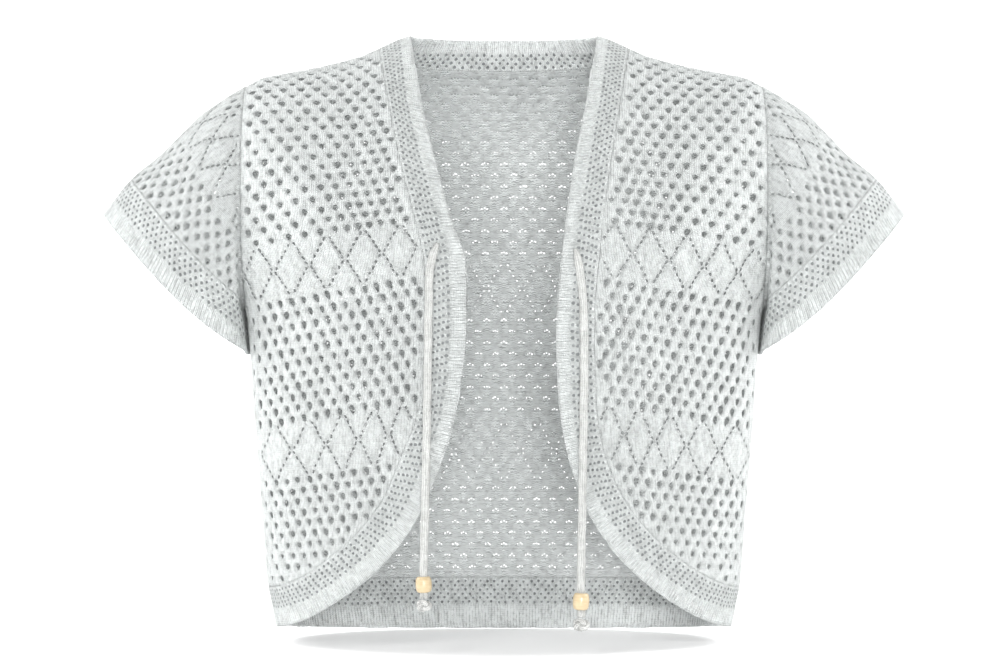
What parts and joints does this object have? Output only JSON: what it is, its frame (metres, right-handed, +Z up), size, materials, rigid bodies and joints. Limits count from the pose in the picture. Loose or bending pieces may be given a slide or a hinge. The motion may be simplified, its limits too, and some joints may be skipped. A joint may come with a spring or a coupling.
{
  "type": "knitted shrug",
  "caption": "Cropped open-front lace-knit shrug with short sleeves, rounded banded fronts and two hanging beaded ties, worn and hollow.",
  "frame": {"origin": "the middle of the shoulder line at neck height, where the wearer's shoulders carry the cloth", "axes": "+Z up, the open front faces -Y, the wearer's left is +X"},
  "size_m": [0.602, 0.2402, 0.4561],
  "materials": {
    "lace_knit": "cool pale grey cotton-like yarn in a pointelle lace knit, soft sheen",
    "band_knit": "the same yarn knitted closer, an eyelet strip and a ribbed edge",
    "tie_cord": "flat knitted cord, slightly creamier than the cloth",
    "bead_wood": "pale turned wood, waxed"
  },
  "bodies": {
    "root": {"back": "lace_knit", "front_left": "lace_knit", "front_right": "lace_knit", "sleeve_left": "lace_knit", "sleeve_right": "lace_knit", "cuff_left": "band_knit", "cuff_right": "band_knit", "band_left": "band_knit", "band_right": "band_knit", "band_neck": "band_knit", "band_hem": "band_knit", "tie_left": "tie_cord", "tie_right": "tie_cord", "knot_left": "tie_cord", "knot_right": "tie_cord", "bead_left": "bead_wood", "bead_right": "bead_wood"}
  },
  "joints": []
}
